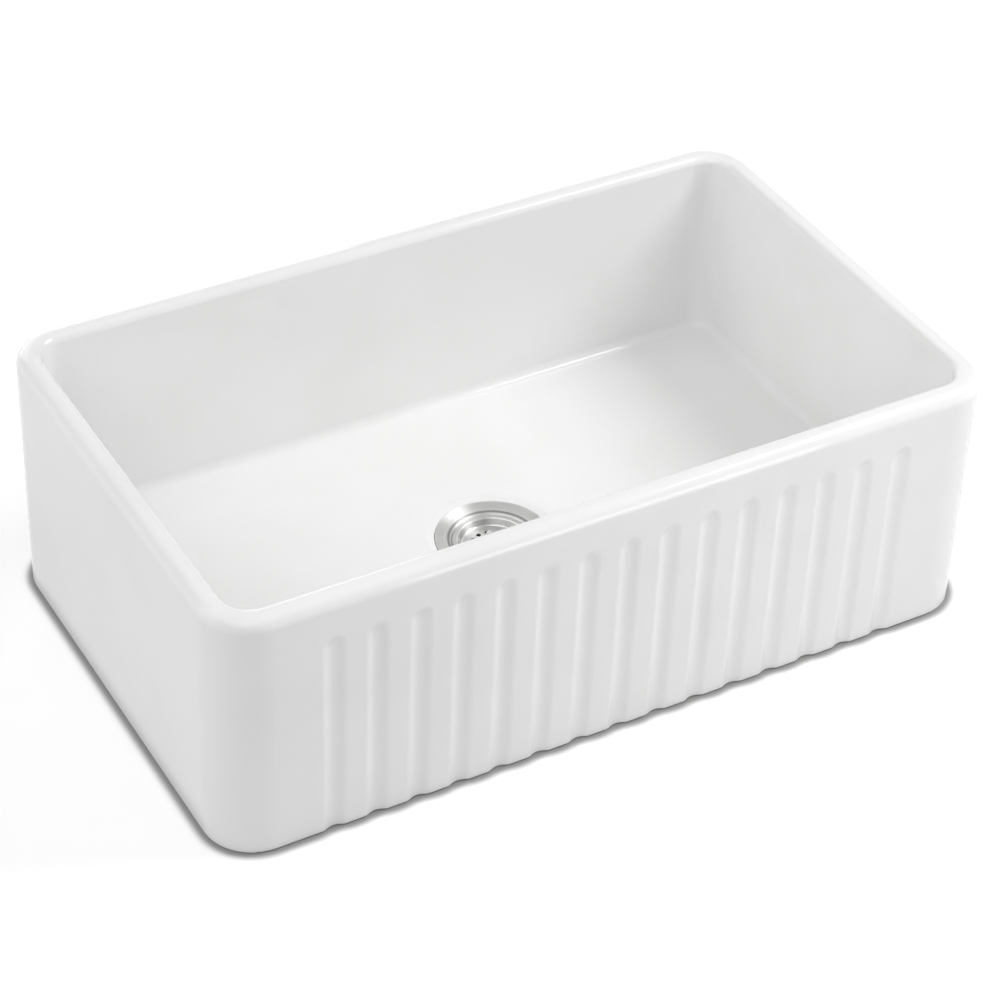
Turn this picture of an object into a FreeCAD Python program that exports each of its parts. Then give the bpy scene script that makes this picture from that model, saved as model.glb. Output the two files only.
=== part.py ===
"""Farmhouse sink with a fluted apron front and a basket strainer, in millimetres.

The sink stands on its base at z = 0, with +X to the right along the apron, +Y to the back and +Z up.
The origin is the middle of the base, and the drain's axis is the Z axis.
Every size is a cell of the sheet, and every sketch and feature is bound to those cells.
"""

import FreeCAD, Part
import Sketcher
import math
import os

# Every driving size: its name, its value in millimetres (or degrees, or a count) and what it is.
SIZES = [
    # basin
    ("basin_width", 762.0, "outside, along the apron"),
    ("basin_depth", 457.2, "outside, front to back"),
    ("basin_height", 254.0, "from the base to the top of the rim"),
    ("corner_radius", 46.0, "outer upright corners"),
    ("wall", 22.0, "side wall at the rim"),
    ("bowl_corner_radius", 26.0, "inner upright corners"),
    ("bowl_draft", 0.8, "degrees that the bowl narrows towards its floor"),
    ("rim_outer_round", 12.0, "rim, outer edge"),
    ("rim_inner_round", 7.5, "rim, inner edge"),
    ("floor_thickness", 23.0, "basin floor at the drain"),
    ("floor_fall", 0.6, "degrees that the floor falls to the drain"),
    ("floor_round", 9.0, "where the bowl's walls meet its floor"),
    ("hollow_height", 31.0, "hollow underside, from the base up"),
    ("foot_width", 24.0, "foot that runs round the base"),
    ("hollow_corner_radius", 22.0, "hollow underside, upright corners"),
    ("hollow_round", 6.0, "hollow underside, where its walls meet the floor"),
    ("base_round", 3.0, "outer edge of the foot"),
    # flutes of the apron
    ("flute_count", 15, "how many"),
    ("flute_pitch", 40.0, "from one to the next"),
    ("flute_width", 17.8, "across one, between its edges"),
    ("flute_depth", 3.0, "at its middle"),
    ("flute_drop", 41.0, "plain band above the flutes"),
    ("flute_edge_round", 10.0, "soft glazed edge of a flute"),
    # drain in the basin floor
    ("drain_hole_gap", 2.2, "between the strainer's thread and the hole through the floor"),
    ("drain_hole_round", 2.2, "glazed edge of that hole"),
    ("recess_gap", 0.5, "between the flange's edge and the wall of the recess that takes it"),
    ("recess_depth", 6.6, "depth of that recess"),
    ("recess_edge_round", 0.8, "glazed edge of the recess"),
    ("dish_width", 6.5, "gentle slope round the recess"),
    ("dish_depth", 2.8, "gentle slope round the recess, its lower edge below the floor"),
    ("dish_round", 8.0, "glazed edge between that slope and the floor"),
    # strainer body
    ("cup_radius", 38.6, "bore of the cup"),
    ("cup_wall", 1.5, "cup's wall round the basket"),
    ("sheet", 1.2, "pressed flange"),
    ("lip_width", 2.9, "slope between the cup's thread and the level ring of the flange"),
    ("lip_flare", 0.9, "eased edge at the mouth of the cup, outwards"),
    ("lip_ease", 0.5, "eased edge at the mouth of the cup, up and down"),
    ("ring_width", 4.0, "level ring of the flange"),
    ("ring_fall", 0.2, "fall of the level ring towards the cup"),
    ("flange_width", 7.3, "sloped edge of the flange"),
    ("flange_rise", 4.0, "outer edge above the recess's floor"),
    ("ring_drop", 1.4, "level ring below the flange's outer edge"),
    ("lip_drop", 3.0, "mouth of the cup below the flange's outer edge"),
    ("shoulder", 1.5, "inward step that carries the crosspiece"),
    ("crosspiece_depth", 16.5, "top of the crosspiece below the mouth of the cup"),
    ("cup_floor", 3.0, "thickness of the cup's floor"),
    ("cup_bevel_width", 5.0, "slope at the foot of the cup's wall, inside"),
    ("cup_bevel_height", 4.0, "slope at the foot of the cup's wall, inside"),
    ("cup_corner_width", 4.0, "slope at the foot of the thread, outside"),
    ("cup_corner_height", 3.0, "slope at the foot of the thread, outside"),
    ("outlet_bore", 19.8, "outlet, inside radius"),
    ("outlet_wall", 4.1, "outlet, from its bore to the outside of its thread"),
    ("outlet_length", 12.0, "outlet thread"),
    ("outlet_lift", 1.5, "end of the outlet above the base"),
    ("outlet_chamfer", 0.8, "start of the outlet thread"),
    ("outlet_mouth_width", 2.0, "slope into the outlet"),
    ("outlet_mouth_depth", 1.5, "slope into the outlet"),
    # rings that clamp the strainer to the floor
    ("seal_gap", 0.8, "between the flange seal and the rounded edge of the drain hole"),
    ("seal_inset", 1.5, "flange seal inside the flange's edge"),
    ("gasket_width", 16.1, "rubber gasket"),
    ("gasket_thickness", 3.0, "rubber gasket"),
    ("washer_width", 15.1, "friction washer"),
    ("washer_thickness", 1.0, "friction washer"),
    ("nut_wall", 8.1, "locknut"),
    ("nut_height", 10.0, "locknut"),
    ("nut_collar_width", 5.0, "locknut's bearing collar, past its wall"),
    ("nut_collar_height", 3.0, "locknut's bearing collar"),
    ("lug_reach", 5.0, "one lug, past the locknut's wall"),
    ("lug_root", 3.0, "one lug, inside the locknut's wall"),
    ("lug_width", 9.0, "one lug"),
    ("lug_count", 8, "how many lugs"),
    ("thread_gap", 0.1, "between a thread and what is on it"),
    # crosspiece
    ("plate", 2.0, "pressed crosspiece"),
    ("seat_radius", 28.5, "hole that the stopper closes"),
    ("seat_lean", 1.0, "how much narrower that hole is below"),
    ("hub_hole_radius", 5.0, "hole that takes the catch"),
    ("hub_width", 6.0, "level middle of the crosspiece, round that hole"),
    ("hub_drop", 6.0, "middle of the crosspiece below its ring"),
    ("crosspiece_gap", 0.2, "between the crosspiece and the cup"),
    ("window_hub_gap", 1.0, "window's short side, from the hub"),
    ("window_seat_gap", 2.5, "window's long side, from the seat"),
    ("window_inner_width", 11.0, "window's short side"),
    ("window_outer_width", 21.0, "window's long side"),
    ("window_count", 4, "how many windows"),
    # basket
    ("basket_gap", 0.6, "between the basket's rim and the cup"),
    ("basket_sheet", 1.0, "pressed basket"),
    ("basket_rim_width", 4.0, "level rim of the basket"),
    ("basket_lean", 4.5, "how much narrower its floor is than its mouth"),
    ("basket_depth", 6.4, "mouth to floor"),
    ("basket_foot_bevel", 2.0, "slope where its wall meets its floor"),
    ("basket_hole_radius", 2.3, "one drain hole"),
    ("outer_hole_inset", 9.5, "circle of the outer holes inside the floor's edge"),
    ("outer_hole_count", 14, "how many outer holes"),
    ("inner_hole_inset", 17.2, "circle of the inner holes inside the floor's edge"),
    ("inner_hole_count", 8, "how many inner holes"),
    # what the basket carries
    ("stopper_lap", 3.0, "rubber stopper past the hole that it closes"),
    ("stopper_edge", 2.2, "rubber stopper's thickness at its edge"),
    ("stopper_boss_radius", 13.0, "raised middle of the stopper"),
    ("stopper_boss_slope", 2.0, "sloped side of that middle"),
    ("plate_width", 8.9, "backing plate under the stopper, from the post's hole to its edge"),
    ("plate_thickness", 1.0, "backing plate under the stopper"),
    ("post_radius", 3.0, "threaded post"),
    ("post_gap", 0.1, "between the post and what is on it"),
    ("post_tip_reach", 0.8, "head at the post's lower end, past the post"),
    ("post_tip_height", 1.2, "head at the post's lower end"),
    ("post_tip_bevel", 0.6, "edge of that head"),
    ("post_nut_flats", 10.0, "hexagon nut, across flats"),
    ("post_nut_height", 4.0, "hexagon nut"),
    ("catch_hub_gap", 0.3, "between the catch's bulge and the crosspiece's hub"),
    ("catch_bulge", 0.6, "bulge of the catch past its ends"),
    ("catch_lead", 1.25, "sloped part at each end of the catch"),
    ("catch_length", 5.0, "spring catch"),
    ("catch_play", 0.05, "between the catch and the post it turns on"),
    ("catch_end_gap", 0.3, "between the catch and what is above and below it"),
    ("catch_slit", 0.8, "slit down one side of the catch"),
    ("knob_foot_radius", 7.0, "knob's foot"),
    ("knob_foot_height", 1.2, "knob's foot"),
    ("knob_neck_radius", 4.4, "knob's neck"),
    ("knob_cove", 1.5, "slope from the knob's neck to its foot and its head"),
    ("knob_radius", 8.0, "knob's head"),
    ("knob_head_height", 5.0, "knob's head"),
    ("knob_height", 13.0, "knob, from the basket's floor"),
    ("knob_round", 2.0, "edges of the knob's head"),
]

doc = FreeCAD.newDocument("farmhouse_sink")
sheet = doc.addObject("Spreadsheet::Sheet", "sizes")
for row, (alias, number, note) in enumerate(SIZES, 1):
    sheet.set(f"A{row}", alias)
    sheet.set(f"B{row}", str(number))
    sheet.set(f"C{row}", note)
    sheet.setAlias(f"B{row}", alias)
doc.recompute()


class Size:
    """A length with the expression that ties it to the sheet, so that sums of sizes stay tied too."""

    def __init__(self, value, text):
        self.value = float(value)
        self.text = text

    def join(self, other, sign, value):
        return Size(value, f"({self.text} {sign} {as_size(other).text})")

    def __add__(self, other):
        return self.join(other, "+", self.value + as_size(other).value)

    def __sub__(self, other):
        return self.join(other, "-", self.value - as_size(other).value)

    def __mul__(self, other):
        return self.join(other, "*", self.value * as_size(other).value)

    def __truediv__(self, other):
        return self.join(other, "/", self.value / as_size(other).value)

    def __neg__(self):
        return Size(-self.value, f"(-1 * {self.text})")


def as_size(value):
    return value if isinstance(value, Size) else Size(value, repr(float(value)))


cells = {alias: Size(number, f"<<sizes>>.{alias}") for alias, number, note in SIZES}
ZERO = as_size(0)
SPARE = as_size(2)  # how far a cut runs past the face that it leaves
TOUCH = 0.01  # two places closer than this are the same
APART = 1.0  # an edge or a face that is further than this from a place isn't at it
SMALLEST_CHANGE = 0.01  # mm3: a feature that changes less has missed the solid
volumes = {}


class Cells:
    """The sheet's sizes as attributes."""

    def __getattr__(self, alias):
        return cells[alias]


dim = Cells()


def tangent_of(angle):
    return Size(math.tan(math.radians(angle.value)), f"tan({angle.text} * 1deg)")


def new_body(name):
    body = doc.addObject("PartDesign::Body", name)
    body.Label = name
    return body


def new_sketch(body, name, role, offset=ZERO):
    """A sketch on one of the body's own origin planes, moved along that plane's normal."""
    sketch = body.newObject("Sketcher::SketchObject", f"{body.Name}_{name}")
    plane = next(item for item in body.Origin.OriginFeatures if item.Role == role)
    sketch.AttachmentSupport = (plane, [""])
    sketch.MapMode = "FlatFace"
    if offset is not ZERO:
        sketch.AttachmentOffset = FreeCAD.Placement(FreeCAD.Vector(0, 0, offset.value), FreeCAD.Rotation())
        sketch.setExpression("AttachmentOffset.Base.z", offset.text)
    return sketch


def bind(sketch, index, name, size):
    sketch.renameConstraint(index, name)
    sketch.setExpression(f"Constraints.{name}", size.text)


def fix_point(sketch, line, end, name, across, up):
    """Ties one end of a line to its distances from the sketch's origin."""
    for kind, size in (("DistanceX", across), ("DistanceY", up)):
        ends = (line, end, -1, 1) if size.value < 0 else (-1, 1, line, end)
        held = -size if size.value < 0 else size
        index = sketch.addConstraint(Sketcher.Constraint(kind, *ends, held.value))
        bind(sketch, index, f"{name}_{kind[-1].lower()}", held)


def polygon(sketch, corners):
    """A closed outline of straight lines through corners given as pairs of sizes."""
    corners = [(as_size(across), as_size(up)) for across, up in corners]
    spots = [FreeCAD.Vector(across.value, up.value, 0) for across, up in corners]
    count = len(spots)
    for index in range(count):
        sketch.addGeometry(Part.LineSegment(spots[index], spots[(index + 1) % count]), False)
    for index in range(count):
        sketch.addConstraint(Sketcher.Constraint("Coincident", index, 2, (index + 1) % count, 1))
    for index, (across, up) in enumerate(corners):
        fix_point(sketch, index, 1, f"corner{index}", across, up)


def rounded_rectangle(sketch, width, depth, radius):
    """A rectangle with rounded corners about the sketch's origin."""
    half_x = width.value / 2
    half_y = depth.value / 2
    arm = radius.value
    near_x = half_x - arm
    near_y = half_y - arm
    spots = [(-near_x, -half_y), (near_x, -half_y), (half_x, -near_y), (half_x, near_y),
             (near_x, half_y), (-near_x, half_y), (-half_x, near_y), (-half_x, -near_y)]
    vectors = [FreeCAD.Vector(across, up, 0) for across, up in spots]
    centres = [(near_x, -near_y), (near_x, near_y), (-near_x, near_y), (-near_x, -near_y)]
    for side in range(4):
        start = vectors[2 * side]
        end = vectors[2 * side + 1]
        sketch.addGeometry(Part.LineSegment(start, end), False)
        middle = FreeCAD.Vector(*centres[side], 0)
        circle = Part.Circle(middle, FreeCAD.Vector(0, 0, 1), arm)
        angle = (side - 1) * math.pi / 2
        sketch.addGeometry(Part.ArcOfCircle(circle, angle, angle + math.pi / 2), False)
    for side in range(4):
        line = 2 * side
        arc = line + 1
        sketch.addConstraint(Sketcher.Constraint("Tangent", line, 2, arc, 1))
        sketch.addConstraint(Sketcher.Constraint("Tangent", arc, 2, (line + 2) % 8, 1))
        sketch.addConstraint(Sketcher.Constraint("Horizontal" if side % 2 == 0 else "Vertical", line))
    for arc in (3, 5, 7):
        sketch.addConstraint(Sketcher.Constraint("Equal", 1, arc))
    sketch.addConstraint(Sketcher.Constraint("Symmetric", 1, 3, 5, 3, -1, 1))
    index = sketch.addConstraint(Sketcher.Constraint("Radius", 1, arm))
    bind(sketch, index, "radius", radius)
    index = sketch.addConstraint(Sketcher.Constraint("DistanceX", 6, 1, 2, 1, width.value))
    bind(sketch, index, "width", width)
    index = sketch.addConstraint(Sketcher.Constraint("DistanceY", 0, 1, 4, 1, depth.value))
    bind(sketch, index, "depth", depth)


def circle_at(sketch, across, radius, name="circle"):
    """A circle whose centre lies on the sketch's X axis."""
    index = sketch.addGeometry(Part.Circle(FreeCAD.Vector(across.value, 0, 0),
                                           FreeCAD.Vector(0, 0, 1), radius.value), False)
    sketch.addConstraint(Sketcher.Constraint("PointOnObject", index, 3, -1))
    held = sketch.addConstraint(Sketcher.Constraint("DistanceX", -1, 1, index, 3, across.value))
    bind(sketch, held, f"{name}_place", across)
    held = sketch.addConstraint(Sketcher.Constraint("Radius", index, radius.value))
    bind(sketch, held, f"{name}_radius", radius)


def ring(sketch, radii):
    """Circles about the sketch's origin."""
    for number, radius in enumerate(radii):
        index = sketch.addGeometry(Part.Circle(FreeCAD.Vector(), FreeCAD.Vector(0, 0, 1), radius.value), False)
        sketch.addConstraint(Sketcher.Constraint("Coincident", index, 3, -1, 1))
        held = sketch.addConstraint(Sketcher.Constraint("Radius", index, radius.value))
        bind(sketch, held, f"radius{number}", radius)


def extrude(body, kind, sketch, length, reverse=False):
    """A Pad or a Pocket of a set length, along the sketch's normal or against it."""
    feature = body.newObject(f"PartDesign::{kind}", f"{sketch.Name}_{kind.lower()}")
    feature.Profile = sketch
    feature.Length = length.value
    feature.setExpression("Length", length.text)
    feature.Reversed = reverse
    return finish_feature(body, feature, kind == "Pocket")


def revolve(body, kind, sketch, axis="V_Axis"):
    """A full turn of a sketch: Revolution adds, Groove cuts."""
    feature = body.newObject(f"PartDesign::{kind}", f"{sketch.Name}_{kind.lower()}")
    feature.Profile = sketch
    feature.ReferenceAxis = (sketch, [axis])
    feature.Angle = 360
    return finish_feature(body, feature, kind == "Groove")


def polar(body, original, sketch, count):
    """Copies of a feature round the Z axis."""
    feature = body.newObject("PartDesign::PolarPattern", f"{original.Name}_copies")
    feature.Originals = [original]
    feature.Axis = (sketch, ["N_Axis"])
    feature.Angle = 360
    feature.Occurrences = int(count.value)
    feature.setExpression("Occurrences", count.text)
    return finish_feature(body, feature)


def finish_feature(body, feature, cuts=False):
    """Makes the feature the body's tip, and stops if it failed, changed nothing or added where it cuts."""
    before = volumes.get(body.Name, 0.0)
    body.Tip = feature
    doc.recompute()
    if "Invalid" in feature.State or "Error" in feature.State or feature.Shape.isNull():
        raise RuntimeError(f"{feature.Name} failed: {feature.State}")
    after = feature.Shape.Volume
    if abs(after - before) < SMALLEST_CHANGE:
        raise RuntimeError(f"{feature.Name} changed nothing")
    if cuts and after > before:
        raise RuntimeError(f"{feature.Name} added material")
    volumes[body.Name] = after
    return feature


def round_edges(body, name, radius, chosen, kind="Fillet"):
    """A fillet (or a chamfer) on the tip's edges that pass the test."""
    base = body.Tip
    names = [f"Edge{number}" for number, edge in enumerate(base.Shape.Edges, 1) if chosen(edge)]
    if not names:
        raise RuntimeError(f"{body.Name}: no edge found for {name}")
    feature = body.newObject(f"PartDesign::{kind}", f"{body.Name}_{name}")
    feature.Base = (base, names)
    held = "Radius" if kind == "Fillet" else "Size"
    setattr(feature, held, radius.value)
    feature.setExpression(held, radius.text)
    base.Visibility = False
    return finish_feature(body, feature)


def near(value, target):
    return abs(value - target) < TOUCH


def level(edge, height):
    """True where the whole edge lies at one height."""
    box = edge.BoundBox
    return near(box.ZMin, height) and near(box.ZMax, height)


def reach(edge):
    """How far the edge gets from the Z axis."""
    box = edge.BoundBox
    return max(abs(box.XMin), abs(box.XMax), abs(box.YMin), abs(box.YMax))


def circle_edge(radius, height):
    """A test for the level circle of this radius about the Z axis."""
    return lambda edge: level(edge, height.value) and near(reach(edge), radius.value)


# Heights that several pieces share, from the base up.
floor_low = dim.hollow_height + dim.floor_thickness
dish_low = floor_low - dim.dish_depth
recess_floor = floor_low - dim.recess_depth
flange_top = recess_floor + dim.flange_rise
ring_top = flange_top - dim.ring_drop
cup_mouth = flange_top - dim.lip_drop
crosspiece_top = cup_mouth - dim.crosspiece_depth
crosspiece_bottom = crosspiece_top - dim.plate
hub_top = crosspiece_top - dim.hub_drop
outlet_end = dim.outlet_lift
cup_underside = outlet_end + dim.outlet_length
cup_inside = cup_underside + dim.cup_floor
gasket_bottom = dim.hollow_height - dim.gasket_thickness
washer_bottom = gasket_bottom - dim.washer_thickness
nut_bottom = washer_bottom - dim.nut_height
basket_floor_top = cup_mouth - dim.basket_depth
basket_underside = basket_floor_top - dim.basket_sheet
plate_bottom = crosspiece_top - dim.plate_thickness
post_nut_bottom = plate_bottom - dim.post_nut_height
catch_top = post_nut_bottom - dim.catch_end_gap
catch_bottom = catch_top - dim.catch_length
tip_top = catch_bottom - dim.catch_end_gap
knob_top = basket_floor_top + dim.knob_height
knob_head_bottom = knob_top - dim.knob_head_height
post_top = knob_head_bottom + dim.knob_head_height / 2

# Radii that several pieces share, from the cup outwards and inwards.
thread_radius = dim.cup_radius + dim.cup_wall
thread_hole = thread_radius + dim.thread_gap
drain_hole_radius = thread_radius + dim.drain_hole_gap
ring_inner_radius = thread_radius + dim.lip_width
ring_outer_radius = ring_inner_radius + dim.ring_width
flange_radius = ring_outer_radius + dim.flange_width
recess_radius = flange_radius + dim.recess_gap
dish_radius = recess_radius + dim.dish_width
narrow_radius = dim.cup_radius - dim.shoulder
basket_rim_radius = dim.cup_radius - dim.basket_gap
basket_mouth_radius = basket_rim_radius - dim.basket_rim_width
basket_floor_radius = basket_mouth_radius - dim.basket_lean
hub_radius = dim.hub_hole_radius + dim.hub_width
outlet_radius = dim.outlet_bore + dim.outlet_wall
rod_hole = dim.post_radius + dim.post_gap


def make_bowl_space():
    """The room inside the bowl: drafted walls, a floor that falls to the drain, and a rounded foot to the walls."""
    body = new_body("bowl_space")
    depth = dim.basin_height - floor_low
    outline = new_sketch(body, "outline", "XY_Plane", dim.basin_height)
    rounded_rectangle(outline, dim.basin_width - dim.wall * 2, dim.basin_depth - dim.wall * 2,
                      dim.bowl_corner_radius)
    block = extrude(body, "Pad", outline, depth, reverse=True)
    draft = body.newObject("PartDesign::Draft", "bowl_space_draft")
    top = face_name(block.Shape, lambda face: near(face.BoundBox.ZMin, dim.basin_height.value))
    sides = [f"Face{number}" for number, face in enumerate(block.Shape.Faces, 1) if face.BoundBox.ZLength > APART]
    draft.Base = (block, sides)
    draft.NeutralPlane = (block, [top])
    draft.Angle = dim.bowl_draft.value
    draft.setExpression("Angle", dim.bowl_draft.text)
    draft.Reversed = True
    finish_feature(body, draft, cuts=True)
    # The floor is a wide shallow cone, so what lies below the cone is taken off the block.
    far = (dim.basin_width + dim.basin_depth) / 2
    rise = (far - dish_radius) * tangent_of(dim.floor_fall)
    slope = new_sketch(body, "slope", "XZ_Plane")
    polygon(slope, [(dish_radius, floor_low), (far, floor_low + rise),
                    (far, floor_low - SPARE), (dish_radius, floor_low - SPARE)])
    revolve(body, "Groove", slope)
    lowest = floor_low.value
    highest = floor_low.value + rise.value
    round_edges(body, "foot", dim.floor_round,
                lambda edge: lowest < edge.BoundBox.ZMin and edge.BoundBox.ZMax < highest)
    return body


def face_name(shape, chosen):
    return next(f"Face{number}" for number, face in enumerate(shape.Faces, 1) if chosen(face))


def make_basin():
    """The fired body: outer block, bowl, hollow underside, drain hole, flutes, and its glazed edges."""
    space = make_bowl_space()
    body = new_body("basin")
    outline = new_sketch(body, "outline", "XY_Plane")
    rounded_rectangle(outline, dim.basin_width, dim.basin_depth, dim.corner_radius)
    extrude(body, "Pad", outline, dim.basin_height)

    cut_flutes(body)
    front = -dim.basin_depth.value / 2
    top = dim.basin_height.value
    highest = top - dim.flute_drop.value + APART
    round_edges(body, "flute_edges", dim.flute_edge_round,
                lambda edge: near(edge.BoundBox.YMin, front) and near(edge.BoundBox.YMax, front)
                and APART < edge.BoundBox.ZMax < highest)

    bowl = body.newObject("PartDesign::Boolean", "basin_bowl")
    bowl.Type = "Cut"
    bowl.setObjects([space])
    finish_feature(body, bowl, cuts=True)

    hollow = new_sketch(body, "hollow", "XY_Plane")
    rounded_rectangle(hollow, dim.basin_width - dim.foot_width * 2, dim.basin_depth - dim.foot_width * 2,
                      dim.hollow_corner_radius)
    extrude(body, "Pocket", hollow, dim.hollow_height, reverse=True)

    drain = new_sketch(body, "drain", "XZ_Plane")
    above = floor_low + SPARE
    polygon(drain, [(0, 0), (drain_hole_radius, 0), (drain_hole_radius, recess_floor),
                    (recess_radius, recess_floor), (recess_radius, dish_low),
                    (dish_radius, floor_low), (dish_radius, above), (0, above)])
    revolve(body, "Groove", drain)

    round_edges(body, "rim_outside", dim.rim_outer_round,
                lambda edge: level(edge, top) and outside_rim(edge))
    round_edges(body, "rim_inside", dim.rim_inner_round,
                lambda edge: level(edge, top) and not outside_rim(edge))
    round_edges(body, "drain_hole_edge", dim.drain_hole_round, circle_edge(drain_hole_radius, recess_floor))
    round_edges(body, "recess_edge", dim.recess_edge_round, circle_edge(recess_radius, dish_low))
    round_edges(body, "dish_edge", dim.dish_round, circle_edge(dish_radius, floor_low))
    round_edges(body, "hollow_top", dim.hollow_round,
                lambda edge: level(edge, dim.hollow_height.value) and reach(edge) > recess_radius.value + APART)
    round_edges(body, "base_edge", dim.base_round, lambda edge: level(edge, 0) and outside_base(edge))
    return body


def outside_rim(edge):
    """True for an edge of the outer of the rim's two outlines."""
    box = edge.BoundBox
    half_x = dim.basin_width.value / 2 - dim.wall.value / 2
    half_y = dim.basin_depth.value / 2 - dim.wall.value / 2
    return max(abs(box.XMin), abs(box.XMax)) > half_x or max(abs(box.YMin), abs(box.YMax)) > half_y


def outside_base(edge):
    """True for an edge of the foot's outer outline, which follows the flutes."""
    box = edge.BoundBox
    half_x = dim.basin_width.value / 2 - dim.foot_width.value / 2
    half_y = dim.basin_depth.value / 2 - dim.foot_width.value / 2
    return max(abs(box.XMin), abs(box.XMax)) > half_x or max(abs(box.YMin), abs(box.YMax)) > half_y


def cut_flutes(body):
    """One round-ended flute in the apron, and its copies along X."""
    half = dim.flute_width / 2
    bend = (half * half + dim.flute_depth * dim.flute_depth) / (dim.flute_depth * 2)
    axis_y = dim.basin_depth / 2 - dim.flute_depth + bend
    first = dim.flute_pitch * (dim.flute_count - 1) / 2
    top = dim.basin_height - dim.flute_drop - half
    sketch = new_sketch(body, "flute", "XZ_Plane", axis_y)
    capsule(sketch, first, bend, -SPARE, top)
    groove = revolve(body, "Groove", sketch, "Axis0")
    x_axis = next(item for item in body.Origin.OriginFeatures if item.Role == "X_Axis")
    copies = body.newObject("PartDesign::LinearPattern", "basin_flutes")
    copies.Originals = [groove]
    copies.Direction = (x_axis, [""])
    copies.Mode = "Spacing"
    copies.Offset = dim.flute_pitch.value
    copies.setExpression("Offset", dim.flute_pitch.text)
    copies.Occurrences = int(dim.flute_count.value)
    copies.setExpression("Occurrences", dim.flute_count.text)
    return finish_feature(body, copies, cuts=True)


def capsule(sketch, left, radius, bottom, top):
    """Half of a round-ended bar, left of the origin, with the line it turns about."""
    low = FreeCAD.Vector(-left.value, bottom.value, 0)
    low_side = FreeCAD.Vector(-left.value + radius.value, bottom.value, 0)
    high_side = FreeCAD.Vector(-left.value + radius.value, top.value, 0)
    tip = FreeCAD.Vector(-left.value, top.value + radius.value, 0)
    sketch.addGeometry(Part.LineSegment(low, low_side), False)
    sketch.addGeometry(Part.LineSegment(low_side, high_side), False)
    middle = FreeCAD.Vector(-left.value, top.value, 0)
    round_end = Part.Circle(middle, FreeCAD.Vector(0, 0, 1), radius.value)
    sketch.addGeometry(Part.ArcOfCircle(round_end, 0, math.pi / 2), False)
    sketch.addGeometry(Part.LineSegment(tip, low), False)
    sketch.addGeometry(Part.LineSegment(low, tip), True)
    for first, first_end, second, second_end in ((0, 2, 1, 1), (2, 2, 3, 1), (3, 2, 0, 1), (4, 1, 0, 1), (4, 2, 3, 1)):
        sketch.addConstraint(Sketcher.Constraint("Coincident", first, first_end, second, second_end))
    sketch.addConstraint(Sketcher.Constraint("Tangent", 1, 2, 2, 1))
    sketch.addConstraint(Sketcher.Constraint("Horizontal", 0))
    sketch.addConstraint(Sketcher.Constraint("Vertical", 1))
    sketch.addConstraint(Sketcher.Constraint("Vertical", 3))
    sketch.addConstraint(Sketcher.Constraint("PointOnObject", 2, 3, 3))
    index = sketch.addConstraint(Sketcher.Constraint("Radius", 2, radius.value))
    bind(sketch, index, "bend", radius)
    index = sketch.addConstraint(Sketcher.Constraint("DistanceX", 0, 1, -1, 1, left.value))
    bind(sketch, index, "place", left)
    index = sketch.addConstraint(Sketcher.Constraint("DistanceY", 0, 1, -1, 1, -bottom.value))
    bind(sketch, index, "run_out", -bottom)
    index = sketch.addConstraint(Sketcher.Constraint("DistanceY", -1, 1, 2, 3, top.value))
    bind(sketch, index, "end", top)


def turned(name, corners):
    """A body turned about the Z axis from one outline of radius and height."""
    body = new_body(name)
    sketch = new_sketch(body, "profile", "XZ_Plane")
    polygon(sketch, corners)
    revolve(body, "Revolution", sketch)
    return body


def flat_ring(name, hole, width, bottom, height):
    """A plain washer round a hole of this radius."""
    body = new_body(name)
    sketch = new_sketch(body, "outline", "XY_Plane", bottom)
    ring(sketch, [hole, hole + width])
    extrude(body, "Pad", sketch, height)
    return body


def make_strainer_body():
    """Stepped flange, cup with a shoulder for the crosspiece, and the threaded outlet."""
    under_ring = ring_top - dim.sheet
    body = turned("strainer_body", [
        (flange_radius, flange_top),
        (ring_outer_radius, ring_top),
        (ring_inner_radius, ring_top - dim.ring_fall),
        (dim.cup_radius + dim.lip_flare, cup_mouth + dim.lip_ease),
        (dim.cup_radius, cup_mouth - dim.lip_ease),
        (dim.cup_radius, crosspiece_bottom),
        (narrow_radius, crosspiece_bottom),
        (narrow_radius, cup_inside + dim.cup_bevel_height),
        (narrow_radius - dim.cup_bevel_width, cup_inside),
        (dim.outlet_bore + dim.outlet_mouth_width, cup_inside),
        (dim.outlet_bore, cup_inside - dim.outlet_mouth_depth),
        (dim.outlet_bore, outlet_end),
        (outlet_radius, outlet_end),
        (outlet_radius, cup_underside),
        (thread_radius - dim.cup_corner_width, cup_underside),
        (thread_radius, cup_underside + dim.cup_corner_height),
        (thread_radius, cup_mouth - dim.sheet),
        (ring_inner_radius, under_ring - dim.ring_fall),
        (ring_outer_radius, under_ring),
        (flange_radius, flange_top - dim.sheet),
    ])
    round_edges(body, "outlet_start", dim.outlet_chamfer, circle_edge(outlet_radius, outlet_end), kind="Chamfer")
    return body


def make_flange_seal():
    """Soft ring between the flange and the recess in the basin floor."""
    under_ring = ring_top - dim.sheet
    inner = drain_hole_radius + dim.drain_hole_round + dim.seal_gap
    outer = flange_radius - dim.seal_inset
    outer_height = under_ring + dim.ring_drop * (outer - ring_outer_radius) / dim.flange_width
    inner_height = under_ring - dim.ring_fall * (ring_outer_radius - inner) / dim.ring_width
    return turned("flange_seal", [
        (inner, recess_floor),
        (outer, recess_floor),
        (outer, outer_height),
        (ring_outer_radius, under_ring),
        (inner, inner_height),
    ])


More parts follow.
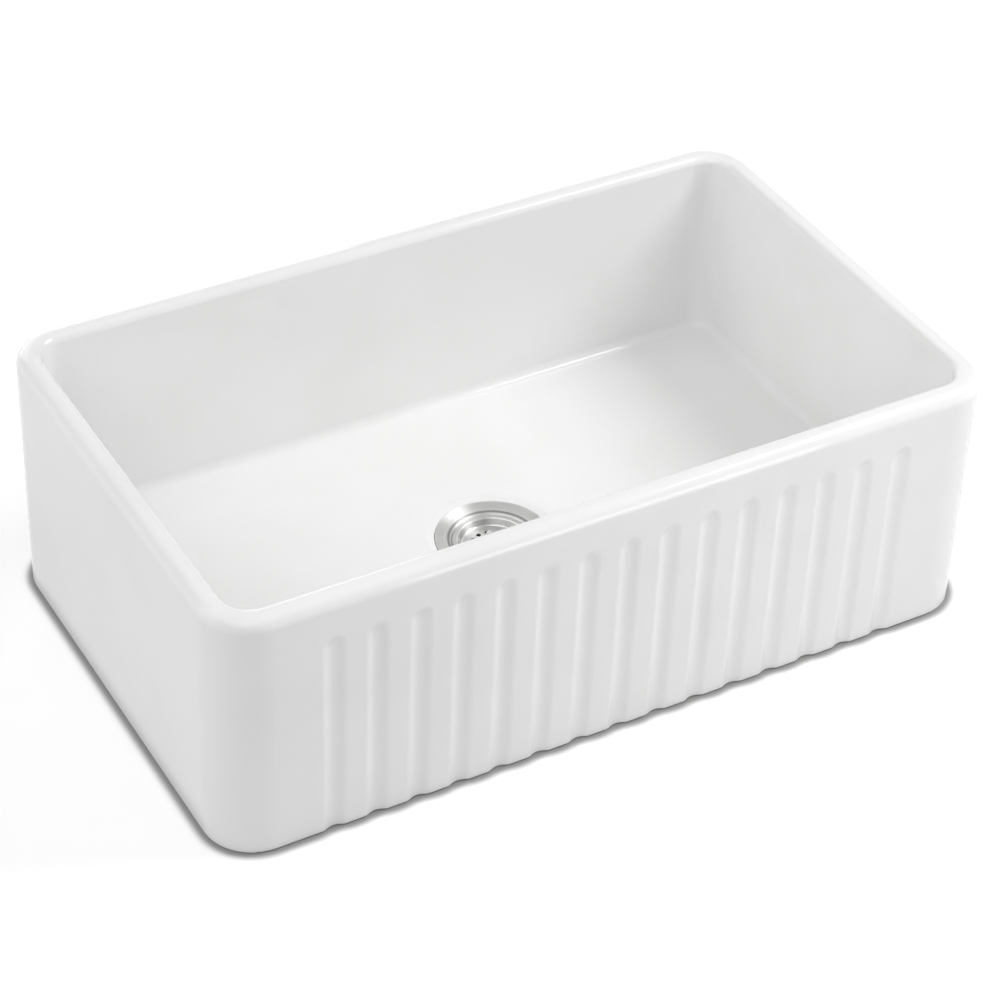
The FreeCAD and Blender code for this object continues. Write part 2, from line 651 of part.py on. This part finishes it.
def make_locknut():
    """Lugged nut that pulls the strainer down on the floor."""
    outer = thread_hole + dim.nut_wall
    collar = outer + dim.nut_collar_width
    collar_bottom = washer_bottom - dim.nut_collar_height
    body = turned("locknut", [
        (thread_hole, nut_bottom),
        (outer, nut_bottom),
        (outer, collar_bottom),
        (collar, collar_bottom),
        (collar, washer_bottom),
        (thread_hole, washer_bottom),
    ])
    sketch = new_sketch(body, "lug", "XY_Plane", nut_bottom)
    half = dim.lug_width / 2
    root = outer - dim.lug_root
    end = outer + dim.lug_reach
    polygon(sketch, [(root, -half), (end, -half), (end, half), (root, half)])
    lug = extrude(body, "Pad", sketch, dim.nut_height - dim.nut_collar_height)
    polar(body, lug, sketch, dim.lug_count)
    return body


def make_crosspiece():
    """Pressed ring that the stopper closes, dished down to a hub between four windows."""
    outer = dim.cup_radius - dim.crosspiece_gap
    hub_bottom = hub_top - dim.plate
    body = turned("crosspiece", [
        (dim.hub_hole_radius, hub_bottom),
        (hub_radius, hub_bottom),
        (dim.seat_radius - dim.seat_lean, crosspiece_bottom),
        (outer, crosspiece_bottom),
        (outer, crosspiece_top),
        (dim.seat_radius, crosspiece_top),
        (hub_radius, hub_top),
        (dim.hub_hole_radius, hub_top),
    ])
    sketch = new_sketch(body, "window", "XY_Plane", hub_bottom - SPARE)
    inner = hub_radius + dim.window_hub_gap
    outer = dim.seat_radius - dim.window_seat_gap
    inner_half = dim.window_inner_width / 2
    outer_half = dim.window_outer_width / 2
    polygon(sketch, [(inner, -inner_half), (outer, -outer_half), (outer, outer_half), (inner, inner_half)])
    window = extrude(body, "Pocket", sketch, dim.hub_drop + dim.plate + SPARE * 2, reverse=True)
    polar(body, window, sketch, dim.window_count)
    return body


def make_basket():
    """Shallow pressed basket with a flat rim and two circles of holes."""
    gauge = dim.basket_sheet
    bevel = dim.basket_foot_bevel
    body = turned("basket", [
        (rod_hole, basket_underside),
        (basket_floor_radius, basket_underside),
        (basket_floor_radius + bevel, basket_underside + bevel),
        (basket_mouth_radius + gauge, cup_mouth - gauge),
        (basket_rim_radius, cup_mouth - gauge),
        (basket_rim_radius, cup_mouth),
        (basket_mouth_radius, cup_mouth),
        (basket_floor_radius + bevel - gauge, basket_floor_top + bevel - gauge / 2),
        (basket_floor_radius - gauge / 2, basket_floor_top),
        (rod_hole, basket_floor_top),
    ])
    for name, inset, count in (("outer_hole", dim.outer_hole_inset, dim.outer_hole_count),
                               ("inner_hole", dim.inner_hole_inset, dim.inner_hole_count)):
        sketch = new_sketch(body, name, "XY_Plane", basket_underside - SPARE)
        circle_at(sketch, basket_floor_radius - inset, dim.basket_hole_radius)
        hole = extrude(body, "Pocket", sketch, gauge + SPARE * 2, reverse=True)
        polar(body, hole, sketch, count)
    return body


def make_stopper():
    """Rubber disc that closes the crosspiece's hole."""
    edge = dim.seat_radius + dim.stopper_lap
    slope = dim.stopper_boss_slope
    return turned("stopper", [
        (rod_hole, crosspiece_top),
        (edge, crosspiece_top),
        (edge, crosspiece_top + dim.stopper_edge),
        (dim.stopper_boss_radius + slope, basket_underside - slope),
        (dim.stopper_boss_radius, basket_underside),
        (rod_hole, basket_underside),
    ])


def make_post():
    """Threaded post that holds the basket, stopper and knob together."""
    tip = dim.post_radius + dim.post_tip_reach
    tip_bottom = tip_top - dim.post_tip_height
    return turned("basket_post", [
        (0, tip_bottom),
        (tip - dim.post_tip_bevel, tip_bottom),
        (tip, tip_bottom + dim.post_tip_bevel),
        (tip, tip_top),
        (dim.post_radius, tip_top),
        (dim.post_radius, post_top),
        (0, post_top),
    ])


def make_post_nut():
    """Hexagon nut under the stopper's backing plate."""
    body = new_body("post_nut")
    flat = dim.post_nut_flats / 2
    corner = flat / math.cos(math.radians(30))
    side = corner / 2
    sketch = new_sketch(body, "outline", "XY_Plane", post_nut_bottom)
    polygon(sketch, [(corner, 0), (side, flat), (-side, flat), (-corner, 0), (-side, -flat), (side, -flat)])
    extrude(body, "Pad", sketch, dim.post_nut_height)
    bore = new_sketch(body, "bore", "XY_Plane", post_nut_bottom - SPARE)
    ring(bore, [rod_hole])
    extrude(body, "Pocket", bore, dim.post_nut_height + SPARE * 2, reverse=True)
    return body


def make_catch():
    """Slit spring sleeve that snaps into the crosspiece's hub and turns on the post."""
    bore = dim.post_radius + dim.catch_play
    bulge = dim.hub_hole_radius - dim.catch_hub_gap
    end = bulge - dim.catch_bulge
    body = turned("spring_catch", [
        (bore, catch_bottom),
        (end, catch_bottom),
        (bulge, catch_bottom + dim.catch_lead),
        (bulge, catch_top - dim.catch_lead),
        (end, catch_top),
        (bore, catch_top),
    ])
    sketch = new_sketch(body, "slit", "XY_Plane", catch_bottom - SPARE)
    half = dim.catch_slit / 2
    polygon(sketch, [(0, -half), (bulge + SPARE, -half), (bulge + SPARE, half), (0, half)])
    extrude(body, "Pocket", sketch, dim.catch_length + SPARE * 2, reverse=True)
    return body


def make_knob():
    """Turned knob, screwed on the post."""
    foot_top = basket_floor_top + dim.knob_foot_height
    body = turned("basket_knob", [
        (rod_hole, basket_floor_top),
        (dim.knob_foot_radius, basket_floor_top),
        (dim.knob_foot_radius, foot_top),
        (dim.knob_neck_radius, foot_top + dim.knob_cove),
        (dim.knob_neck_radius, knob_head_bottom - dim.knob_cove),
        (dim.knob_radius, knob_head_bottom),
        (dim.knob_radius, knob_top),
        (0, knob_top),
        (0, post_top),
        (rod_hole, post_top),
    ])
    round_edges(body, "head_edge", dim.knob_round, circle_edge(dim.knob_radius, knob_top))
    return body


def make_parts():
    """Every sub-part, in the order in which they go together."""
    return [
        make_basin(),
        make_strainer_body(),
        make_flange_seal(),
        flat_ring("rubber_gasket", thread_hole, dim.gasket_width, gasket_bottom, dim.gasket_thickness),
        flat_ring("friction_washer", thread_hole, dim.washer_width, washer_bottom, dim.washer_thickness),
        make_locknut(),
        make_crosspiece(),
        make_basket(),
        make_stopper(),
        flat_ring("stopper_plate", rod_hole, dim.plate_width, plate_bottom, dim.plate_thickness),
        make_post(),
        make_post_nut(),
        make_catch(),
        make_knob(),
    ]


parts = make_parts()
doc.recompute()
for item in doc.Objects:
    if "Invalid" in item.State or "Error" in item.State:
        raise RuntimeError(f"{item.Name} is in error: {item.State}")
for part in parts:
    if part.Shape.isNull() or not part.Shape.isValid() or len(part.Shape.Solids) != 1:
        raise RuntimeError(f"{part.Label} is not one valid solid")
os.makedirs("parts", exist_ok=True)
for part in parts:
    part.Shape.exportStep(f"parts/{part.Label}.step")
    print(f"{part.Label}: {part.Shape.Volume:.1f} mm3")
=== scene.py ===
"""White fireclay farmhouse sink with a fluted apron and a steel basket strainer, in a soft studio.

Metres throughout, in the same frame as the model: +X right along the apron, +Y back, +Z up.
"""

import math

import bpy
from mathutils import Matrix, Vector

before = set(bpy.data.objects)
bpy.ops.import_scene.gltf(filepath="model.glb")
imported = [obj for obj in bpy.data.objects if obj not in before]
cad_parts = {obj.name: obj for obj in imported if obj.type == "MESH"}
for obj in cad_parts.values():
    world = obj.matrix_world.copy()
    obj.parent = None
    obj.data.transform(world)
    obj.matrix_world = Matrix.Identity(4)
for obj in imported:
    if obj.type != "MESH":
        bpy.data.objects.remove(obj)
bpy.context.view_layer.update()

MM = 0.001

# The camera: the point it looks towards, how it stands round that point, and its lens.
VIEW_CENTRE = Vector((0, 0, 127 * MM))
VIEW_AZIMUTH = -30.80
VIEW_ELEVATION = 38.09
VIEW_ROLL = 2.40
VIEW_OFFSET = Vector((3.797 * MM, -24.761 * MM, 2790.119 * MM))  # right, up and back from the centre
LENS_MM = 110.24
SENSOR_MM = 36.0
FAR_CLIP = 100.0

# The studio: softboxes by name, with the direction each stands in (degrees round from the apron towards
# +X, then up), its distance, its width and its power in watts.
SOFTBOXES = (
    ("right", 72, 46, 2.6, 1.2, 36.0),
    ("overhead", 0, 72, 2.8, 1.8, 4.5),
    ("left", -105, 42, 3.2, 2.4, 20.8),
    ("left_low", -105, 15, 3.2, 2.4, 11.9),
    ("front_left", -45, 42, 3.2, 2.4, 25.4),
    ("back", 180, 15, 3.2, 2.4, 24.2),
    ("front", 20, 3, 1.1, 0.5, 1.8),
)
ROOM_LIGHT = 0.2585  # even light from all round
CEILING_GLOW = 0.35  # how bright the ceiling looks in a reflection; the walls are 1
WALLS_END = 0.15  # upward part of a direction: the white walls start to give way to the ceiling here
CEILING_STARTS = 0.35  # and have given way here
FLOOR_SIZE = 16.0
FLOOR_WHITE = (0.6, 0.6, 0.6, 1)
FLOOR_PAINTED_SHADOW = (0.35, 0.35, 0.35, 1)  # painted contact shadow: the floor's colour in the line where the sink stands
FLOOR_GLOW = 0.5  # what the floor shows of itself round the sink, besides the light that falls on it
FAR_FLOOR_GLOW = 0.85  # the same, far from the sink
NEAR_FLOOR = 0.8  # distance from the sink's middle up to which the floor is near
FAR_FLOOR = 2.0  # and from which it is far
FLOOR_DROP = 0.2 * MM  # the floor lies this far under the foot, so that the two faces don't coincide
CONTACT = 12 * MM  # reach of the painted contact shadow, a dark line where the sink meets the floor
CONTACT_OPEN = 0.6  # share of open sky above the floor, up to which that line is darkest
BLACK = (0, 0, 0, 1)
WHITE = (1, 1, 1, 1)


class Value:
    """A socket among a finish's nodes. Sums, products and comparisons of it add Math nodes."""

    def __init__(self, finish, socket):
        self.finish = finish
        self.socket = socket

    def maths(self, operation, *numbers):
        return self.finish.node("ShaderNodeMath", {"operation": operation}, dict(enumerate(numbers)))

    def __add__(self, other):
        return self.maths("ADD", self, other)

    def __radd__(self, other):
        return self.maths("ADD", other, self)

    def __sub__(self, other):
        return self.maths("SUBTRACT", self, other)

    def __rsub__(self, other):
        return self.maths("SUBTRACT", other, self)

    def __mul__(self, other):
        return self.maths("MULTIPLY", self, other)

    def __rmul__(self, other):
        return self.maths("MULTIPLY", other, self)

    def __lt__(self, other):
        return self.maths("LESS_THAN", self, other)

    def largest(self, other):
        return self.maths("MAXIMUM", self, other)

    def size(self):
        return self.maths("ABSOLUTE", self)

    def root(self):
        return self.maths("SQRT", self)

    def ramp(self, low, high, start=0.0, end=1.0):
        """Goes smoothly from start to end as this goes from low to high."""
        ends = {"Value": self, "From Min": low, "From Max": high, "To Min": start, "To Max": end}
        return self.finish.node("ShaderNodeMapRange", {"interpolation_type": "SMOOTHSTEP"}, ends)


class Finish:
    """The nodes of one material, or of the world."""

    def __init__(self, owner):
        owner.use_nodes = True
        self.owner = owner
        self.tree = owner.node_tree
        self.tree.nodes.clear()

    def node(self, kind, settings=None, inputs=None, output=0):
        """Adds a node: its settings first, then a value or a link for each input named."""
        made = self.tree.nodes.new(kind)
        for name, setting in (settings or {}).items():
            setattr(made, name, setting)
        for name, value in (inputs or {}).items():
            socket = made.inputs[name] if isinstance(name, int) else self.open_input(made, name)
            if isinstance(value, Value):
                self.tree.links.new(value.socket, socket)
            else:
                socket.default_value = value
        return Value(self, made.outputs[output]) if made.outputs else None

    @staticmethod
    def open_input(made, name):
        """The input of that name that the node's settings leave in use."""
        return next(socket for socket in made.inputs if socket.name == name and socket.enabled)

    def place(self):
        """A point of the piece at rest, and its three coordinates."""
        point = self.node("ShaderNodeTexCoord", output="Object")
        return point, [self.part(point, axis) for axis in range(3)]

    def part(self, point, axis):
        return self.node("ShaderNodeSeparateXYZ", inputs={0: point}, output=axis)

    def point(self, across, along, up):
        return self.node("ShaderNodeCombineXYZ", inputs={0: across, 1: along, 2: up})

    def noise(self, point, scale, detail=2.0, rough=0.5):
        """Smooth noise from 0 to 1, with this many waves to the metre."""
        return self.node("ShaderNodeTexNoise",
                         inputs={"Vector": point, "Scale": scale, "Detail": detail, "Roughness": rough})

    def mix(self, amount, first, second):
        """A colour between two, by amount."""
        return self.node("ShaderNodeMix", {"data_type": "RGBA"}, {"Factor": amount, "A": first, "B": second},
                         output=2)

    def relief(self, height, distance, below=None):
        """A bump this many metres high where height is 1, over another bump if there is one."""
        inputs = {"Height": height, "Distance": distance}
        if below:
            inputs["Normal"] = below
        return self.node("ShaderNodeBump", inputs=inputs)

    def skin(self, **inputs):
        """The principled shader, closed to the output."""
        named = {name.replace("_", " "): value for name, value in inputs.items()}
        self.close(self.node("ShaderNodeBsdfPrincipled", inputs=named))
        return self.owner

    def close(self, shader, kind="ShaderNodeOutputMaterial"):
        self.node(kind, inputs={"Surface": shader})


def new_finish(name):
    return Finish(bpy.data.materials.new(name))


# Finishes ------------------------------------------------------------------------------------------------

GLAZE_WHITE = (0.90, 0.90, 0.90, 1)
GLAZE_THIN = (0.875, 0.873, 0.87, 1)
CLAY_LIGHT = (0.80, 0.775, 0.73, 1)
CLAY_DARK = (0.70, 0.67, 0.62, 1)
BARE_FOOT = 0.5 * MM  # height up to which the foot has no glaze
HOLLOW_X = 357.6 * MM  # reach of the hollow underneath, each way, and its height
HOLLOW_Y = 205.2 * MM
HOLLOW_TOP = 31.6 * MM

# Steel: shades, roughness and depth of the brush marks, and bands of painted shade and painted highlight with the
# heights or radii they lie between.
STEEL_LIGHT = (0.93, 0.93, 0.92, 1)
FLANGE_DARK = (0.80, 0.80, 0.79, 1)
SATIN_LIGHT = (0.74, 0.74, 0.73, 1)
SATIN_DARK = (0.64, 0.64, 0.63, 1)
BRIGHT_LIGHT = (0.88, 0.88, 0.87, 1)
BRIGHT_DARK = (0.80, 0.80, 0.79, 1)
SATIN_ROUGH = 0.38
BRIGHT_ROUGH = 0.32
SATIN_MARKS = 0.004 * MM
BRIGHT_MARKS = 0.002 * MM
# Painted shade and painted highlight on the flange: a darker ring on its lip, lighter rings on its level ring and
# outer edge.
PAINTED_SHADE_LIP = ("radius", 40.2 * MM, 43.0 * MM, (0.40, 0.40, 0.395, 1))
PAINTED_HIGHLIGHT_RING = ("radius", 43.0 * MM, 46.8 * MM, STEEL_LIGHT)
PAINTED_HIGHLIGHT_EDGE = ("radius", 52.6 * MM, 55.0 * MM, STEEL_LIGHT)
# Painted shade: the basket's inner wall is darkened between these heights.
PAINTED_SHADE_WALL = ("height", 42.6 * MM, 47.6 * MM, (0.44, 0.44, 0.435, 1))
EASE = 0.6 * MM  # width over which a band fades in and out


def glazed_fireclay():
    """Thick glossy glaze, a little wavy, that stops at the foot. The foot and the hollow are sanded clay."""
    finish = new_finish("glazed_fireclay")
    point, (across, along, up) = finish.place()
    in_hollow = (across.size() < HOLLOW_X) * (along.size() < HOLLOW_Y) * (up < HOLLOW_TOP)
    bare = in_hollow.largest(up.ramp(BARE_FOOT, 2 * BARE_FOOT, 1.0, 0.0))
    pool = finish.noise(point, 9, 3)
    glaze = finish.mix(pool.ramp(0.35, 0.75), GLAZE_WHITE, GLAZE_THIN)
    speck = finish.noise(point, 900, 1).ramp(0.80, 0.84)
    glaze = finish.mix(speck * 0.3, glaze, CLAY_DARK)
    grain = finish.noise(point, 700, 4, 0.7)
    clay = finish.mix(grain.ramp(0.35, 0.7), CLAY_LIGHT, CLAY_DARK)
    shine = finish.noise(point, 30, 3).ramp(0.3, 0.7, 0.05, 0.09)
    wave = finish.noise(point, 28, 2)
    peel = finish.noise(point, 260, 2)
    waves = finish.relief(wave, 0.10 * MM)
    skin = finish.relief(peel, 0.004 * MM, waves)
    sand = finish.relief(grain * bare, 0.25 * MM, skin)
    return finish.skin(Base_Color=finish.mix(bare, glaze, clay), Roughness=bare * 0.8 + (1 - bare) * shine,
                       Normal=sand, IOR=1.52)


def brushed_steel(name, light, dark, rough, marks, bands=()):
    """Stainless steel brushed round the drain's axis, with bands of painted highlight and painted shade in its
    colour.
    """
    finish = new_finish(name)
    point, (across, along, up) = finish.place()
    radius = (across * across + along * along).root()
    ring = finish.point(radius, up, 0.0)
    fine = finish.noise(ring, 5200, 3, 0.7)
    broad = finish.noise(ring, 700, 2)
    cloud = finish.noise(point, 60, 3)
    upright = finish.point(across * 900, along * 900, up * 60)
    streak = finish.noise(upright, 1, 3).ramp(0.3, 0.7, 0.75, 1.0)
    tone = fine.ramp(0.3, 0.7) * 0.6 + cloud.ramp(0.3, 0.7) * 0.4
    colour = finish.mix(tone, light, dark)
    # Each band paints shade or highlight into the steel's colour.
    for measure, low, high, shade in bands:
        place = {"height": up, "radius": radius}[measure]
        band = place.ramp(low, low + EASE) * place.ramp(high - EASE, high, 1.0, 0.0)
        colour = finish.mix(band * streak, colour, shade)
    return finish.skin(Base_Color=colour, Metallic=1.0, Roughness=rough + 0.08 * broad + 0.06 * fine,
                       Anisotropic=0.85, Anisotropic_Rotation=0.25, Normal=finish.relief(fine, marks))


def moulded_rubber():
    """Black rubber with a fine moulded grain and a bloom of grey."""
    finish = new_finish("moulded_rubber")
    point, _ = finish.place()
    grain = finish.noise(point, 2600, 3)
    bloom = finish.noise(point, 90, 3).ramp(0.45, 0.8)
    return finish.skin(Base_Color=finish.mix(bloom, (0.022, 0.022, 0.023, 1), (0.06, 0.06, 0.06, 1)),
                       Roughness=0.5 + 0.2 * grain, Normal=finish.relief(grain, 0.02 * MM))


def pressed_fibre():
    """Brown fibre board, with long fibres."""
    finish = new_finish("pressed_fibre")
    point, (across, along, up) = finish.place()
    strands = finish.noise(finish.point(across * 400, along * 1500, up * 1500), 1, 4, 0.7)
    brown = finish.mix(strands.ramp(0.3, 0.7), (0.40, 0.28, 0.18, 1), (0.62, 0.48, 0.33, 1))
    return finish.skin(Base_Color=brown, Roughness=0.75 + 0.2 * strands, Normal=finish.relief(strands, 0.05 * MM))


def cast_zinc():
    """Die-cast nut with a dull plating."""
    finish = new_finish("cast_zinc")
    point, _ = finish.place()
    grain = finish.noise(point, 1500, 3, 0.6)
    stain = finish.noise(point, 80, 4).ramp(0.4, 0.75)
    plating = finish.mix(stain, (0.56, 0.56, 0.55, 1), (0.42, 0.42, 0.40, 1))
    return finish.skin(Base_Color=plating, Metallic=1.0, Roughness=0.38 + 0.2 * grain,
                       Normal=finish.relief(grain, 0.04 * MM))


def spring_strip():
    """Bluish spring steel, drawn along its length."""
    finish = new_finish("spring_strip")
    point, (across, along, up) = finish.place()
    drawn = finish.noise(finish.point(across * 400, along * 400, up * 5000), 1, 3)
    blue = finish.mix(drawn.ramp(0.3, 0.7), (0.55, 0.56, 0.58, 1), (0.44, 0.46, 0.50, 1))
    return finish.skin(Base_Color=blue, Metallic=1.0, Roughness=0.25 + 0.15 * drawn,
                       Normal=finish.relief(drawn, 0.01 * MM))


def dress_nodes():
    """Gives every CAD node the finish of its own material."""
    flange = brushed_steel("flange_steel", STEEL_LIGHT, FLANGE_DARK, SATIN_ROUGH, SATIN_MARKS,
                           (PAINTED_SHADE_LIP, PAINTED_HIGHLIGHT_RING, PAINTED_HIGHLIGHT_EDGE))
    satin = brushed_steel("satin_steel", SATIN_LIGHT, SATIN_DARK, SATIN_ROUGH, SATIN_MARKS)
    bright = brushed_steel("bright_steel", BRIGHT_LIGHT, BRIGHT_DARK, BRIGHT_ROUGH, BRIGHT_MARKS)
    pressed = brushed_steel("pressed_steel", BRIGHT_LIGHT, BRIGHT_DARK, BRIGHT_ROUGH, BRIGHT_MARKS, (PAINTED_SHADE_WALL,))
    rubber = moulded_rubber()
    finishes = {
        "basin": glazed_fireclay(),
        "strainer_body": flange,
        "flange_seal": rubber,
        "rubber_gasket": rubber,
        "friction_washer": pressed_fibre(),
        "locknut": cast_zinc(),
        "crosspiece": satin,
        "basket": pressed,
        "stopper": rubber,
        "stopper_plate": satin,
        "basket_post": satin,
        "post_nut": satin,
        "spring_catch": spring_strip(),
        "basket_knob": bright,
    }
    for node, finish in finishes.items():
        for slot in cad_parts[node].material_slots:
            slot.material = finish


# Studio --------------------------------------------------------------------------------------------------

def ray(finish, kind):
    """1 for a ray of this kind, else 0."""
    return finish.node("ShaderNodeLightPath", output=f"Is {kind} Ray")


def mirrored(finish):
    """1 for what a reflection or a clear piece shows."""
    return ray(finish, "Glossy").largest(ray(finish, "Transmission"))


def build_room():
    """Even light from all round, in front of white walls; what is mirrored overhead is the dim ceiling."""
    world = bpy.data.worlds.new("studio")
    bpy.context.scene.world = world
    finish = Finish(world)
    up = finish.part(finish.node("ShaderNodeTexCoord", output="Generated"), 2)
    walls = up.ramp(WALLS_END, CEILING_STARTS, 1.0, CEILING_GLOW)
    light = ray(finish, "Camera").largest(mirrored(finish) * walls).largest(ROOM_LIGHT)
    sky = finish.node("ShaderNodeBackground", inputs={"Color": finish.mix(light, BLACK, WHITE)})
    finish.close(sky, "ShaderNodeOutputWorld")


def build_floor():
    """A plain white floor that shows the sink's shadow, with a painted contact shadow darkening its colour and
    its glow where the two meet.
    """
    half = FLOOR_SIZE / 2
    mesh = bpy.data.meshes.new("floor")
    corners = [(-half, -half), (half, -half), (half, half), (-half, half)]
    mesh.from_pydata([(across, along, -FLOOR_DROP) for across, along in corners], [], [(0, 1, 2, 3)])
    floor = bpy.data.objects.new("floor", mesh)
    bpy.context.scene.collection.objects.link(floor)
    finish = new_finish("white_floor")
    sky_above = finish.node("ShaderNodeAmbientOcclusion", inputs={"Distance": CONTACT}, output="AO")
    # An occlusion mask, low where the sink stands: through the floor's colour and its glow it paints a contact
    # shadow there.
    open_floor = sky_above.ramp(CONTACT_OPEN, 1.0)
    colour = finish.mix(open_floor, FLOOR_PAINTED_SHADOW, FLOOR_WHITE)
    paper = finish.node("ShaderNodeBsdfDiffuse", inputs={"Color": colour})
    _, (across, along, _) = finish.place()
    away = (across * across + along * along).root()
    # The glow is dimmed by the same mask, as painted contact shadow.
    level = open_floor * away.ramp(NEAR_FLOOR, FAR_FLOOR, FLOOR_GLOW, FAR_FLOOR_GLOW)
    seen = ray(finish, "Camera").largest(mirrored(finish))
    glow = finish.node("ShaderNodeEmission", inputs={"Color": finish.mix(level, BLACK, WHITE), "Strength": seen})
    finish.close(finish.node("ShaderNodeAddShader", inputs={0: paper, 1: glow}))
    mesh.materials.append(finish.owner)


def direction(azimuth, elevation):
    """A unit vector, by degrees round from the apron towards +X and degrees up."""
    turn = math.radians(azimuth)
    rise = math.radians(elevation)
    return Vector((math.sin(turn) * math.cos(rise), -math.cos(turn) * math.cos(rise), math.sin(rise)))


def build_softboxes():
    for name, azimuth, elevation, distance, width, power in SOFTBOXES:
        lamp = bpy.data.lights.new(name, "AREA")
        lamp.shape = "SQUARE"
        lamp.size = width
        lamp.energy = power
        stand = bpy.data.objects.new(f"softbox_{name}", lamp)
        away = direction(azimuth, elevation)
        stand.location = VIEW_CENTRE + away * distance
        stand.rotation_euler = away.to_track_quat("Z", "Y").to_euler()
        bpy.context.scene.collection.objects.link(stand)


def build_camera():
    """Stands where the photograph was taken from."""
    back = direction(VIEW_AZIMUTH, VIEW_ELEVATION)
    right = Vector((0, 0, 1)).cross(back).normalized()
    above = back.cross(right)
    lean = math.radians(VIEW_ROLL)
    side = right * math.cos(lean) + above * math.sin(lean)
    top = above * math.cos(lean) - right * math.sin(lean)
    turn = Matrix((side, top, back)).transposed()
    camera = bpy.data.cameras.new("camera")
    camera.sensor_width = SENSOR_MM
    camera.lens = LENS_MM
    camera.clip_end = FAR_CLIP
    holder = bpy.data.objects.new("camera", camera)
    holder.matrix_world = Matrix.Translation(VIEW_CENTRE + turn @ VIEW_OFFSET) @ turn.to_4x4()
    bpy.context.scene.collection.objects.link(holder)
    bpy.context.scene.camera = holder


dress_nodes()
build_room()
build_floor()
build_softboxes()
build_camera()

bpy.context.scene.view_settings.view_transform = "Standard"
bpy.context.view_layer.update()
